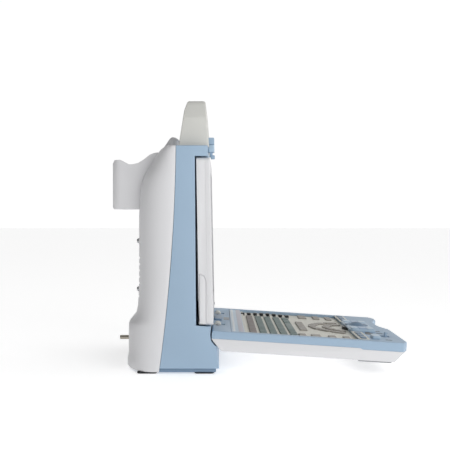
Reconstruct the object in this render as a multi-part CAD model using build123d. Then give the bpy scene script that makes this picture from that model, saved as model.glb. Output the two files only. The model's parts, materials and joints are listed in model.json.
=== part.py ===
from build123d import *
import math
import os

# ---------------------------------------------------------------- driving dimensions, millimetres
# X is the width, the user stands at -Y, +Z is up. The origin is at the bottom centre of the whole.
# In side views, "back" is the distance behind the front of the foot of the case.
WIDTH = 330.0
HALF = WIDTH / 2
FRONT_Y = 53.2  # row Y of the front of the foot of the case
TOP = 311.4  # top of the case, under the handle
WALL = 3.0
GAP = 0.3  # gap between pieces that must not touch

SEAM_TOP = 60.0  # how far back the seam between the two case halves lies, from top to bottom
SEAM_MIDDLE = (66.5, 156.0)
SEAM_BOTTOM = 83.0
REAR_UPPER = 114.5  # back of the upper rear cover
REAR_LOWER = 130.0  # back of the swollen foot of the rear cover
STEP_Z = 68.0  # height where the foot of the rear cover begins

PAN_BOTTOM = 1.8
PAN_TOP = 7.2
RECESS_BACK = 34.5  # the wall behind the display
SHELF_Z = 64.5  # the shelf under the display

HINGE_BACK = 3.4  # keyboard hinge axis
HINGE_Z = 57.0
KEY_SLOPE = 3.65  # the open keyboard slopes down to its front, degrees
KEY_FRONT = 263.8  # hinge axis to the front end
KEY_REAR = 7.6  # hinge axis to the rear end
RIM = 1.4  # keyboard rim above the hinge axis
DECK = 4.0  # thickness of the keyboard's top wall
SCOOP = 16.0  # depth of the finger scoop in the front edge
SEAM_DROP = 1.8  # the keyboard's side seam steps down near the front
KEY_SEAM = -9.0
KEY_FLOOR = -25.6
KEY_WALL = 2.4
HINGE_X = 76.0  # the two hinges' distance from the middle
PIN_R = 2.5
RUN = 0.05  # radial clearance of a running fit

PANEL_HALF = 152.0  # key panel opening, half width
PANEL_NEAR = 19.0  # key panel opening, from the hinge axis
PANEL_FAR = 197.0
PANEL_THICK = 1.6
KEY_RISE = 2.0  # key tops above the panel
KEY_TALL = 3.8
KEY_GAP = 0.35
ROW_PITCH = 14.4
ROW_DEEP = 10.0
ROW_FIRST = 45.6
BALL_R = 16.0
BALL_Z = -6.4
RING_RISE = 3.4
BALL_AHEAD = 212.0

DISPLAY_HALF = 163.0
DISPLAY_TOP = 295.0
DISPLAY_BOTTOM = 66.4
DISPLAY_AXIS = (12.5, 72.4)  # back, height
POCKET_X, POCKET_AHEAD = -70.0, 219.0  # half-round finger pocket
LATCH_X = -99.0
HOOK_AHEAD = 239.2  # the keyboard's catch hook, from the hinge axis
HOOK_TOP = 7.4  # top of the hook above the hinge axis
PORT_Z = 38.0

os.makedirs("parts", exist_ok=True)


# ---------------------------------------------------------------- small helpers
def save(shape, name):
    export_step(shape, f"parts/{name}.step")


def slab(outline, x_low, x_high):
    """A side-view outline of (back, height) points, extruded across the width."""
    points = [(FRONT_Y + back, height) for back, height in outline]
    face = Plane.YZ.offset(x_low) * make_face(Polyline(*points, close=True))
    return extrude(face, amount=x_high - x_low)


def block(x, back, height):
    """A box from three (low, high) pairs."""
    size = [high - low for low, high in (x, back, height)]
    middle = [(low + high) / 2 for low, high in (x, back, height)]
    return Pos(middle[0], FRONT_Y + middle[1], middle[2]) * Box(*size)


def rod_x(radius, x_low, x_high, back, height):
    """A cylinder along the width."""
    middle = Pos((x_low + x_high) / 2, FRONT_Y + back, height)
    return middle * Rot(0, 90, 0) * Cylinder(radius, x_high - x_low)


def rod_y(radius, x, back_low, back_high, height):
    """A cylinder along the depth."""
    middle = Pos(x, FRONT_Y + (back_low + back_high) / 2, height)
    return middle * Rot(90, 0, 0) * Cylinder(radius, back_high - back_low)


def rod_z(radius, x, back, z_low, z_high):
    return Pos(x, FRONT_Y + back, (z_low + z_high) / 2) * Cylinder(radius, z_high - z_low)


def group(pieces):
    """Separate solids kept together in one node."""
    return Compound(children=list(pieces))


def in_keyboard(shape):
    """From the keyboard's own frame, origin on the hinge axis and -Y forward, to the open place."""
    return Pos(0, FRONT_Y + HINGE_BACK, HINGE_Z) * Rot(KEY_SLOPE, 0, 0) * shape


def key_block(x, ahead, z):
    """A box in the keyboard's own frame; ahead is the distance forward of the hinge axis."""
    size = [high - low for low, high in (x, ahead, z)]
    middle = [(low + high) / 2 for low, high in (x, ahead, z)]
    return Pos(middle[0], -middle[1], middle[2]) * Box(*size)


def keyboard_plan():
    """The keyboard from above: bowed front corners and an off-centre finger scoop."""
    corner_left = ThreePointArc((-HALF, -254.4), (-147, -261.2), (-123, -265))
    front = Line((-123, -265), (-12, -265))
    scoop = ThreePointArc((-12, -265), (62, SCOOP - 265), (136, -263))
    corner_right = ThreePointArc((136, -263), (152, -260), (HALF, -254.4))
    sides = Polyline((HALF, -254.4), (HALF, 20), (-HALF, 20), (-HALF, -254.4))
    face = make_face([corner_left, front, scoop, corner_right, sides])
    return extrude(Pos(0, 0, -60) * face, amount=90)


def key_slab(outline, x_low, x_high):
    """A side-view outline of (ahead, z) points in the keyboard's own frame."""
    points = [(-ahead, z) for ahead, z in outline]
    face = Plane.YZ.offset(x_low) * make_face(Polyline(*points, close=True))
    return extrude(face, amount=x_high - x_low)


def plan_prism(half, rear, radius, z_low, z_high):
    """The case seen from above: square at the front and rounded at the two rear corners."""
    low, high = FRONT_Y + 40, FRONT_Y + rear
    corner = radius * (1 - math.sqrt(0.5))
    outline = Polyline((-half, high - radius), (-half, low), (half, low), (half, high - radius))
    right = ThreePointArc((half, high - radius), (half - corner, high - corner), (half - radius, high))
    back = Line((half - radius, high), (radius - half, high))
    left = ThreePointArc((radius - half, high), (corner - half, high - corner), (-half, high - radius))
    return extrude(Pos(0, 0, z_low) * make_face([outline, right, back, left]), amount=z_high - z_low)


def ahead_of_seam(shift=0.0):
    """Everything in front of the curved seam between the two case halves."""
    top = (FRONT_Y + SEAM_TOP + shift, TOP + 90)
    upper = (FRONT_Y + SEAM_TOP + shift, TOP)
    middle = (FRONT_Y + SEAM_MIDDLE[0] + shift, SEAM_MIDDLE[1])
    lower = (FRONT_Y + SEAM_BOTTOM + shift, PAN_BOTTOM)
    ends = Polyline(lower, (lower[0], -20), (FRONT_Y - 60, -20), (FRONT_Y - 60, TOP + 90), top, upper)
    face = Plane.YZ.offset(-HALF - 5) * make_face([ends, ThreePointArc(upper, middle, lower)])
    return extrude(face, amount=WIDTH + 10)


# ---------------------------------------------------------------- the rear cover
def rear_volume(inset):
    """The rear half's outer form, or its hollow when inset is the wall's thickness."""
    upper = [
        (42, STEP_Z - 8),
        (42, TOP - inset),
        (77 - inset * 0.4, TOP - inset),
        (84 - inset * 0.7, TOP - 4 - inset * 0.7),
        (107.5 - inset, 271),
        (110.8 - inset, 262),
        (REAR_UPPER - inset, 222),
        (REAR_UPPER - inset, STEP_Z - 8),
    ]
    lower = [
        (42, 2.4 - 2 * inset),
        (42, 86),
        (REAR_UPPER - inset, 86),
        (120.5 - inset, 76),
        (128.5 - inset, STEP_Z),
        (REAR_LOWER - inset, STEP_Z - 5),
        (REAR_LOWER - inset, 12),
        (REAR_LOWER - 6 - inset, 4 - 2 * inset),
        (104, 2.4 - 2 * inset),
    ]
    half = HALF - inset
    top = slab(upper, -half, half) & plan_prism(half, REAR_UPPER - inset, 40 - inset, 55, TOP - inset)
    foot = slab(lower, -half, half) & plan_prism(half, REAR_LOWER - inset, 46 - inset, -5, 90)
    return top + foot


def hump(inset):
    """The raised middle of the rear cover, behind the handle."""
    outline = [
        (60, TOP - 12),
        (60, 331 - inset),
        (71.5 - inset * 0.5, 331 - inset),
        (81 - inset, 318.5),
        (88 - inset, 309),
        (90 - inset, 296),
    ]
    return slab(outline, -58 + inset, 58 - inset)


FAN_Z = 142.0
FAN_HOLES = 35.75  # half the spacing of an 80 mm fan's screws
PANEL_X = 104.0  # half width of the connector panel
PANEL_Z = (14.0, 61.0)
SOCKET_X = 98.0
SOCKET_Z = (112.0, 184.0)
SOCKET_SIZE = (44.0, 56.0)

hump_solid = fillet(hump(0).edges().filter_by(Axis.Z).sort_by(Axis.Y)[-2:], 8)
rear_cover = rear_volume(0) + hump_solid - rear_volume(WALL) - hump(WALL)
rear_cover -= ahead_of_seam(GAP)
rear_cover -= block((-PANEL_X, PANEL_X), (116, 140), PANEL_Z)
rear_cover -= rod_y(38, 0, 100, 125, FAN_Z)
for x_sign in (-1, 1):
    for z_sign in (-1, 1):
        rear_cover -= rod_y(2.2, x_sign * FAN_HOLES, 100, 125, FAN_Z + z_sign * FAN_HOLES)
for socket_z in SOCKET_Z:
    half_x, half_z = SOCKET_SIZE[0] / 2, SOCKET_SIZE[1] / 2
    rear_cover -= block(
        (SOCKET_X - half_x, SOCKET_X + half_x), (100, 125), (socket_z - half_z, socket_z + half_z)
    )
for i in range(7):
    height = 100 + 9 * i
    rear_cover -= block((-128, -66), (100, 125), (height, height + 3.2))
save(rear_cover, "rear_cover")

# ---------------------------------------------------------------- the front frame
front_outline = [
    (17, TOP),
    (96, TOP),
    (96, PAN_TOP + GAP),
    (1.2, PAN_TOP + GAP),
    (4.6, 37.0),
    (8.2, 39.8),
    (12.3, 45.2),
    (13.4, 53.2),
    (12.2, SHELF_Z - 1),
    (13.2, SHELF_Z),
    (32.8, SHELF_Z + 1.2),
    (RECESS_BACK, 297),
    (17, 297),
]
front_hollow = [
    (20, TOP - WALL),
    (99, TOP - WALL),
    (99, 0),
    (4.6, 0),
    (8.0, 35.6),
    (10.6, 37.6),
    (15.2, 44.0),
    (16.4, 53.0),
    (16.0, SHELF_Z - WALL),
    (36.0, SHELF_Z - WALL + 1),
    (RECESS_BACK + WALL, 298),
    (RECESS_BACK + WALL, 300),
    (20, 300),
]
front_frame = slab(front_outline, -HALF, HALF) & ahead_of_seam(0)
front_frame -= slab(front_hollow, -HALF + WALL, HALF - WALL)
side_edges = front_frame.edges().filter_by(GeomType.LINE).filter_by(
    lambda edge: abs(abs(edge.center().X) - HALF) < 0.01 and edge.center().Y < FRONT_Y + 40
)
front_frame = fillet(side_edges.filter_by(lambda edge: edge.length > 25), 1.2)

# ---------------------------------------------------------------- base pan and feet
pan = block((-HALF + 4, HALF - 4), (5.4, 120.5), (PAN_BOTTOM, PAN_TOP))
pan = fillet(pan.edges().filter_by(Axis.Z).sort_by(Axis.Y)[-2:], 40)
pan = chamfer(pan.edges().group_by(Axis.Z)[0], 1.2)
pan -= block((-HALF + 12, HALF - 12), (14, 100), (PAN_BOTTOM + 2.4, PAN_TOP + 1))
save(pan, "base_pan")

feet = []
for x_sign in (-1, 1):
    for back in (21.5, 100.0):
        foot = Pos(x_sign * 149, FRONT_Y + back, 0.9) * Box(24, 27, 1.8)
        foot = fillet(foot.edges().filter_by(Axis.Z), 5)
        feet.append(chamfer(foot.edges().group_by(Axis.Z)[0], 0.5))
save(group(feet), "rubber_feet")

# ---------------------------------------------------------------- carry handle
HANDLE_TOP = 376.8
GRIP_LOW = 346.0
handle_side = [
    (15.2, TOP),
    (20.4, HANDLE_TOP),
    (45.2, HANDLE_TOP),
    (49.8, 363),
    (52.6, 344),
    (57.4, TOP),
]
handle = slab(handle_side, -150, 150)
handle = fillet(handle.edges().filter_by(Axis.X).group_by(Axis.Z)[-1], 4)
left_leg = [(-124, HANDLE_TOP), (-138, 352), (-146, TOP)]
arch = make_face(Polyline(*left_leg, *[(-x, z) for x, z in reversed(left_leg)], close=True))
arch = fillet(arch.vertices().group_by(Axis.Y)[1:], 14)
gap_corners = [(-118, TOP - 1), (-109, GRIP_LOW), (109, GRIP_LOW), (118, TOP - 1)]
hand_gap = make_face(Polyline(*gap_corners, close=True))
hand_gap = fillet(hand_gap.vertices().group_by(Axis.Y)[-1], 16)
arch_ring = Plane.XZ.offset(-FRONT_Y) * (arch - hand_gap)
handle &= extrude(arch_ring, amount=-70)
save(handle, "carry_handle")

handle_screws = []
for x in (-132, 132):
    for back in (27, 46):
        head = rod_z(4.0, x, back, TOP - WALL - 3.0, TOP - WALL)
        shank = rod_z(2.0, x, back, TOP - WALL, TOP)
        handle_screws.append(head + shank)
screw_holes = [rod_z(2.0, x, back, TOP - WALL, TOP) for x in (-132, 132) for back in (27, 46)]
front_frame -= screw_holes
save(front_frame, "front_frame")

# ---------------------------------------------------------------- probe holder
HOLDER_HALF = 105.0
HOLDER_BACK = 154.0
HOLDER_LOW = 224.5
holder_outline = [
    (REAR_UPPER, HOLDER_LOW),
    (HOLDER_BACK - 2, HOLDER_LOW),
    (HOLDER_BACK, HOLDER_LOW + 3),
    (HOLDER_BACK, 290),
    (HOLDER_BACK - 3, 295),
    (HOLDER_BACK - 12, 295),
    (HOLDER_BACK - 24, 288.5),
    (HOLDER_BACK - 30, 288.5),
    (HOLDER_BACK - 38, 290.6),
    (108, 295.6),
    (100.3, 301.9),
    (94, 304.6),
    (88, 305.5),
]
holder = slab(holder_outline, -HOLDER_HALF, HOLDER_HALF)
holder -= rear_volume(0)
holder -= hump(0)
holder = fillet(holder.edges().filter_by(Axis.Z).sort_by(Axis.Y)[-2:], 10)
CUPS = (-66.0, 0.0, 66.0)
for x in CUPS:
    cup = Pos(x, FRONT_Y + 133.6, 0)
    holder -= cup * Pos(0, 0, 290) * Cylinder(16, 110)
    holder -= cup * Pos(0, 0, 294) * Cone(16, 22, 16)
    holder -= block((x - 7, x + 7), (143, 160), (200, 330))
holder = max(holder.solids(), key=lambda solid: solid.volume)
save(holder, "probe_holder")

# ---------------------------------------------------------------- connector panel and what it carries
PLATE = (REAR_LOWER - 4.2, REAR_LOWER - 2.2)  # the panel plate's thickness, as backs
PIN_X = -84.0
PIN_Z = 40.4
EARTH_R = 3.0
EARTH_STEM_R = 2.5
EARTH_NUT = 2.4
INLET_X, FUSE_X, SWITCH_X = 78.0, 46.0, 20.0

plate = block((-PANEL_X + GAP, PANEL_X - GAP), PLATE, (PANEL_Z[0] + GAP, PANEL_Z[1] - GAP))
plate -= rod_y(EARTH_STEM_R, PIN_X, 100, 140, PIN_Z)
plate -= block((INLET_X - 13.8, INLET_X + 13.8), (100, 140), (PORT_Z - 10, PORT_Z + 10))
plate -= rod_y(6.2, FUSE_X, 100, 140, PORT_Z)
plate -= block((SWITCH_X - 6.6, SWITCH_X + 6.6), (100, 140), (PORT_Z - 9.6, PORT_Z + 9.6))
PORTS = {"video": (-12, 17.0, 9.0), "network": (-36, 14.0, 13.0), "usb": (-56, 13.2, 14.4)}
for x, wide, tall in PORTS.values():
    plate -= block((x - wide / 2, x + wide / 2), (100, 140), (PORT_Z - tall / 2, PORT_Z + tall / 2))
save(plate, "connector_panel")

earth_pin = rod_y(EARTH_R, PIN_X, PLATE[1] + EARTH_NUT, REAR_LOWER + 14, PIN_Z)
earth_pin = chamfer(earth_pin.edges().group_by(Axis.Y)[-1], 0.6)
earth_pin += rod_y(EARTH_STEM_R, PIN_X, 120, PLATE[1] + EARTH_NUT, PIN_Z)
hexagon = Plane.XZ.offset(-FRONT_Y - PLATE[1]) * Pos(PIN_X, PIN_Z) * RegularPolygon(6.2, 6)
earth_nut = extrude(hexagon, amount=-EARTH_NUT) - rod_y(EARTH_STEM_R, PIN_X, 100, 140, PIN_Z)
save(group([earth_pin, earth_nut]), "earth_pin")

inlet = block((INLET_X - 13.7, INLET_X + 13.7), (104, PLATE[1]), (PORT_Z - 9.9, PORT_Z + 9.9))
inlet += block((INLET_X - 20, INLET_X + 20), (PLATE[1], PLATE[1] + 1.8), (PORT_Z - 12, PORT_Z + 12))
inlet = fillet(inlet.edges().filter_by(Axis.Y), 1.5)
inlet -= block((INLET_X - 12, INLET_X + 12), (108, 135), (PORT_Z - 8, PORT_Z + 8))
blades = [
    block((INLET_X + dx - 1, INLET_X + dx + 1), (108, 124), (PORT_Z + dz - 2.4, PORT_Z + dz + 2.4))
    for dx, dz in ((-7, -1.5), (0, 2.0), (7, -1.5))
]
fuse = rod_y(6.1, FUSE_X, 108, PLATE[1], PORT_Z) + rod_y(8, FUSE_X, PLATE[1], PLATE[1] + 3.4, PORT_Z)
fuse -= block((FUSE_X - 5, FUSE_X + 5), (PLATE[1] + 2, 140), (PORT_Z - 0.8, PORT_Z + 0.8))
save(group([inlet, fuse] + blades), "power_inlet")

SWITCH_BACK = PLATE[1] - 2.0
frame_x = (SWITCH_X - 6.5, SWITCH_X + 6.5)
switch_frame = block(frame_x, (112, PLATE[1]), (PORT_Z - 9.5, PORT_Z + 9.5))
flange_z = (PORT_Z - 11.5, PORT_Z + 11.5)
switch_frame += block((SWITCH_X - 8, SWITCH_X + 8), (PLATE[1], PLATE[1] + 1.4), flange_z)
switch_frame -= block((SWITCH_X - 5, SWITCH_X + 5), (116, 140), (PORT_Z - 8.6, PORT_Z + 8.6))
switch_frame -= rod_x(1.55, SWITCH_X - 6, SWITCH_X + 6, SWITCH_BACK, PORT_Z)
save(switch_frame, "switch_frame")
SWITCH_TILT = 8.0
rocker_outline = Polyline((-4.5, -4), (2.4, -7.9), (1.0, 0), (2.4, 7.9), (-4.5, 4), close=True)
rocker = extrude(Plane.YZ.offset(-4.7) * make_face(rocker_outline), amount=9.4)
rocker += Rot(0, 90, 0) * Cylinder(1.5, 11.6)
rocker = Pos(SWITCH_X, FRONT_Y + SWITCH_BACK, PORT_Z) * Rot(SWITCH_TILT, 0, 0) * rocker
save(rocker, "power_rocker")

port_shells = []
for x, wide, tall in PORTS.values():
    shell_x = (x - wide / 2 + 0.1, x + wide / 2 - 0.1)
    shell_z = (PORT_Z - tall / 2 + 0.1, PORT_Z + tall / 2 - 0.1)
    shell = block(shell_x, (112, PLATE[1] + 1.2), shell_z)
    hollow_x = (shell_x[0] + 1, shell_x[1] - 1)
    port_shells.append(shell - block(hollow_x, (117, 140), (shell_z[0] + 1, shell_z[1] - 1)))
save(group(port_shells), "data_ports")

panel_screws = []
for x in (-96, 96):
    for z in (PANEL_Z[0] + 6, PANEL_Z[1] - 6):
        panel_screws.append(rod_y(2.8, x, PLATE[1], PLATE[1] + 1.6, z))

# ---------------------------------------------------------------- probe sockets
sockets, inserts = [], []
for z in SOCKET_Z:
    half_x, half_z = SOCKET_SIZE[0] / 2 - 0.2, SOCKET_SIZE[1] / 2 - 0.2
    shell = block((SOCKET_X - half_x, SOCKET_X + half_x), (98, REAR_UPPER + 1.4), (z - half_z, z + half_z))
    shell = fillet(shell.edges().filter_by(Axis.Y), 4)
    inner_x = (SOCKET_X - half_x + 3, SOCKET_X + half_x - 3)
    shell -= block(inner_x, (104, 130), (z - half_z + 3, z + half_z - 3))
    sockets.append(shell)
    insert = block((SOCKET_X - 12, SOCKET_X + 12), (104, 111), (z - 19, z + 19))
    insert -= rod_y(4, SOCKET_X, 105, 130, z)
    inserts.append(insert)
save(group(sockets + inserts), "probe_sockets")

# ---------------------------------------------------------------- cooling fan
FAN_BACK = (84.0, 109.0)
fan_frame = block((-40, 40), FAN_BACK, (FAN_Z - 40, FAN_Z + 40))
fan_frame = fillet(fan_frame.edges().filter_by(Axis.Y), 4)
fan_frame -= rod_y(38, 0, FAN_BACK[0] + 3, 112, FAN_Z)
for angle in range(0, 360, 45):
    hole = Pos(28 * math.cos(math.radians(angle)), 0, FAN_Z + 28 * math.sin(math.radians(angle)))
    fan_frame -= hole * Pos(0, FRONT_Y + FAN_BACK[0], 0) * Rot(90, 0, 0) * Cylinder(8, 10)
for x_sign in (-1, 1):
    for z_sign in (-1, 1):
        fan_frame -= rod_y(2.0, x_sign * FAN_HOLES, 80, 112, FAN_Z + z_sign * FAN_HOLES)
fan_frame += rod_y(2.0, 0, FAN_BACK[0] + 2, FAN_BACK[0] + 18, FAN_Z)
save(fan_frame, "fan_frame")
hub_back = (FAN_BACK[0] + 4, FAN_BACK[1] - 3)
fan_rotor = rod_y(13, 0, *hub_back, FAN_Z)
blade = Pos(24, 0, 0) * Rot(38, 0, 0) * Box(24, 2, 17)
middle_back = FRONT_Y + sum(hub_back) / 2
for angle in range(0, 360, 60):
    fan_rotor += Pos(0, middle_back, FAN_Z) * Rot(0, angle, 0) * blade
fan_rotor -= rod_y(2.0 + RUN, 0, hub_back[0] - 1, FAN_BACK[0] + 18 + RUN * 6, FAN_Z)
save(fan_rotor, "fan_rotor")

guard_low, guard_high = REAR_UPPER, REAR_UPPER + 1.8
guard_rings = []
for radius in (9, 18, 27, 36.5):
    ring = rod_y(radius + 0.9, 0, guard_low, guard_high, FAN_Z)
    ring -= rod_y(radius - 0.9, 0, guard_low, guard_high, FAN_Z)
    guard_rings.append(ring)
spokes = []
for angle in (45, 135):
    spoke = Pos(0, FRONT_Y + (guard_low + guard_high) / 2, FAN_Z) * Rot(0, angle, 0)
    spokes.append(spoke * Box(2 * FAN_HOLES * math.sqrt(2) + 7, guard_high - guard_low, 2.4))
guard = guard_rings[0]
for piece in guard_rings[1:] + spokes:
    guard += piece
fan_screws = []
for x_sign in (-1, 1):
    for z_sign in (-1, 1):
        x, z = x_sign * FAN_HOLES, FAN_Z + z_sign * FAN_HOLES
        guard += rod_y(4.2, x, guard_low, guard_high, z)
        guard -= rod_y(1.9, x, 80, 130, z)
        fan_screws.append(rod_y(1.9, x, 96, guard_high, z) + rod_y(3.8, x, guard_high, guard_high + 1.6, z))
save(guard, "fan_guard")
save(group(handle_screws + panel_screws + fan_screws), "case_screws")

# ---------------------------------------------------------------- inside the case
chassis = block((-150, 150), (44, 45.5), (16, 296))
chassis += block((-150, 150), (45.5, 58), (16, 17.5))
chassis -= block((-60, 60), (40, 50), (200, 260))
for x in (-132, 62):
    for z in (118, 282):
        chassis += rod_y(3, x, 45.5, 52, z)
save(chassis, "chassis_plate")
main_board = [block((-140, 70), (52, 53.6), (110, 290)), block((84, 85.6), (50, 96), (80, 280))]
for x in (-120, -70, -20, 30):
    for z in (150, 210, 250):
        main_board.append(block((x, x + 26), (53.6, 56.6), (z, z + 26)))
save(group(main_board), "circuit_boards")
power_supply = block((-140, -20), (50, 100), (18, 92))
power_supply -= block((-138.8, -21.2), (51.2, 98.8), (19.2, 90.8))
transformer = block((-110, -50), (58, 92), (19.2, 66))
save(group([power_supply, transformer]), "power_supply")

# ---------------------------------------------------------------- display unit
front_top, front_bottom = 13.7, 9.0
back_top, back_bottom = 32.6, 28.6
split_top, split_bottom = 21.0, 16.4
SCREEN_HALF = 123.0
SCREEN_Z = (92.0, 276.5)


def lean_back(at_top, at_bottom, height):
    """How far back a leaning face is at a height."""
    share = (height - DISPLAY_BOTTOM) / (DISPLAY_TOP - DISPLAY_BOTTOM)
    return at_bottom + share * (at_top - at_bottom)


def display_slab(front, back, half, z_low, z_high):
    """A layer of the display between two leaning faces, each given as (top, bottom) backs."""
    outline = [
        (lean_back(*front, z_low), z_low),
        (lean_back(*front, z_high), z_high),
        (lean_back(*back, z_high), z_high),
        (lean_back(*back, z_low), z_low),
    ]
    return slab(outline, -half, half)


front_face, back_face = (front_top, front_bottom), (back_top, back_bottom)
split_face = (split_top, split_bottom)
bezel = display_slab(front_face, split_face, DISPLAY_HALF, DISPLAY_BOTTOM, DISPLAY_TOP)
bezel = fillet(bezel.edges().filter_by(lambda edge: abs(edge.length - 7.3) < 0.3), 5)
bezel = fillet(bezel.faces().sort_by(Axis.Y)[0].edges(), 1.6)
bezel -= display_slab(
    (front_top + 2.2, front_bottom + 2.2), (split_top + 1, split_bottom + 1), SCREEN_HALF + 6,
    SCREEN_Z[0] - 6, SCREEN_Z[1] + 6,
)
bezel -= display_slab((0, 0), (30, 30), SCREEN_HALF, *SCREEN_Z)
display_back = display_slab(split_face, back_face, DISPLAY_HALF, DISPLAY_BOTTOM, DISPLAY_TOP)
display_back = fillet(display_back.edges().filter_by(lambda edge: abs(edge.length - 11.9) < 0.5), 5)
display_back -= display_slab(
    (split_top - 1, split_bottom - 1),
    (back_top - 2.2, back_bottom - 2.2),
    DISPLAY_HALF - 4,
    84,
    DISPLAY_TOP - 4,
)
BRACKET_X = 96.0
for x_sign in (-1, 1):
    low, high = x_sign * BRACKET_X - 4.3, x_sign * BRACKET_X + 4.3
    slot = block((low, high), (0, 40), (60, 80.5))
    pin_hole = rod_x(2.0, x_sign * BRACKET_X - 14, x_sign * BRACKET_X + 14, *DISPLAY_AXIS)
    bezel = bezel - slot - pin_hole
    display_back -= slot
CAP_X = 1.6
cap_outline = [(19.5, 68), (19.5, 126), (22, 133), (27.5, 136), (27.5, 68)]
caps = []
for x_sign in (-1, 1):
    low, high = sorted((x_sign * DISPLAY_HALF, x_sign * (DISPLAY_HALF - CAP_X)))
    caps.append(slab(cap_outline, low, high))
    wider = [(18.9, 67.4), (18.9, 126.2), (21.7, 133.6), (27.5, 136.7), (28.3, 136.7), (28.3, 67.4)]
    display_back -= slab(wider, low - 0.01, high + 0.01)
save(bezel, "display_bezel")
save(display_back, "display_back")
save(group(caps), "display_hinge_caps")
panel = display_slab(
    (front_top + 2.4, front_bottom + 2.4), (split_top - 0.2, split_bottom - 0.2), SCREEN_HALF + 5.5,
    SCREEN_Z[0] - 5.5, SCREEN_Z[1] + 5.5,
)
save(panel, "lcd_panel")
pod = display_slab((back_top + 0.0, back_bottom + 0.0), (back_top + 1.6, back_bottom + 1.6), 150, 98, 196)
save(pod, "display_rear_pod")

brackets, display_pins = [], []
for x_sign in (-1, 1):
    low, high = x_sign * BRACKET_X - 4, x_sign * BRACKET_X + 4
    back, height = DISPLAY_AXIS
    bracket = block((low, high), (back + 0.9, back + 9), (SHELF_Z + 1.2, height))
    bracket += block((low, high), (back + 3, back + 18), (SHELF_Z + 1.2, SHELF_Z + 2.6))
    bracket += rod_x(4.4, low, high, back, height)
    bracket -= rod_x(2.0 + RUN, low - 1, high + 1, back, height)
    brackets.append(bracket)
    middle = x_sign * BRACKET_X
    display_pins.append(rod_x(2.0, middle - 14, middle + 14, back, height))
save(group(brackets), "display_brackets")
save(group(display_pins), "display_pins")

# ---------------------------------------------------------------- keyboard shells
top_outline = [
    (-KEY_REAR, KEY_SEAM),
    (-KEY_REAR, RIM - 1.5),
    (1.5 - KEY_REAR, RIM),
    (KEY_FRONT - 3, RIM),
    (KEY_FRONT, RIM - 3.5),
    (KEY_FRONT + 0.6, KEY_SEAM - SEAM_DROP),
    (199, KEY_SEAM - SEAM_DROP),
    (195, KEY_SEAM),
]
bottom_outline = [
    (-KEY_REAR, KEY_SEAM),
    (195, KEY_SEAM),
    (199, KEY_SEAM - SEAM_DROP),
    (KEY_FRONT + 0.6, KEY_SEAM - SEAM_DROP),
    (KEY_FRONT, KEY_SEAM - SEAM_DROP - 0.8),
    (KEY_FRONT - 9.4, KEY_FLOOR + 12.6),
    (KEY_FRONT - 20.6, KEY_FLOOR),
    (14.5 - KEY_REAR, KEY_FLOOR),
    (-KEY_REAR, KEY_FLOOR + 15.6),
]
hollow_outline = [
    (-KEY_REAR + KEY_WALL + 11, RIM - DECK),
    (KEY_FRONT - 6, RIM - DECK),
    (KEY_FRONT - KEY_WALL, KEY_SEAM - SEAM_DROP + 2),
    (KEY_FRONT - 11, KEY_FLOOR + 15),
    (KEY_FRONT - 22.8, KEY_FLOOR + KEY_WALL),
    (16 - KEY_REAR, KEY_FLOOR + KEY_WALL),
    (-KEY_REAR + KEY_WALL + 11, KEY_FLOOR + 5),
]
hollow = key_slab(hollow_outline, -HALF + KEY_WALL, HALF - KEY_WALL)
hollow &= Pos(0, KEY_WALL + 2, 0) * keyboard_plan()
keyboard_top = (key_slab(top_outline, -HALF, HALF) & keyboard_plan()) - hollow
keyboard_bottom = (key_slab(bottom_outline, -HALF, HALF) & keyboard_plan()) - hollow
panel_span = (PANEL_NEAR, PANEL_FAR)
keyboard_top -= key_block((-PANEL_HALF, PANEL_HALF), panel_span, (-8, 8))
keyboard_top -= Pos(POCKET_X, -POCKET_AHEAD, RIM) * (Cylinder(9, 6) - Pos(-10, 0, 0) * Box(20, 30, 10))
for x_sign in (-1, 1):
    low, high = x_sign * HINGE_X - 9.5, x_sign * HINGE_X + 9.5
    notch = key_block((low, high), (-12, 10.5), (-16, 8))
    hole = Pos(x_sign * HINGE_X, 0, 0) * Rot(0, 90, 0) * Cylinder(PIN_R, 44)
    keyboard_top = keyboard_top - notch - hole
    keyboard_bottom -= notch
keyboard_top -= key_block((LATCH_X - 8, LATCH_X + 8), (HOOK_AHEAD - 6, HOOK_AHEAD + 6), (RIM - DECK, 8))
keyboard_top -= Pos(0, -BALL_AHEAD, 0) * Cylinder(22.3, 20)
save(in_keyboard(keyboard_top), "keyboard_top_shell")
save(in_keyboard(keyboard_bottom), "keyboard_bottom_shell")

hook_sides = (LATCH_X - 4, LATCH_X + 4)
plate_sides = (LATCH_X - 10, LATCH_X + 10)
catch = key_block(plate_sides, (HOOK_AHEAD - 8, HOOK_AHEAD + 8), (RIM - DECK - 2, RIM - DECK))
catch += key_block(hook_sides, (HOOK_AHEAD - 1.2, HOOK_AHEAD + 1.2), (RIM - DECK, HOOK_TOP))
catch += key_block(hook_sides, (HOOK_AHEAD - 1.2, HOOK_AHEAD + 2.8), (HOOK_TOP - 1.6, HOOK_TOP))
save(in_keyboard(catch), "latch_catch")

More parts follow.
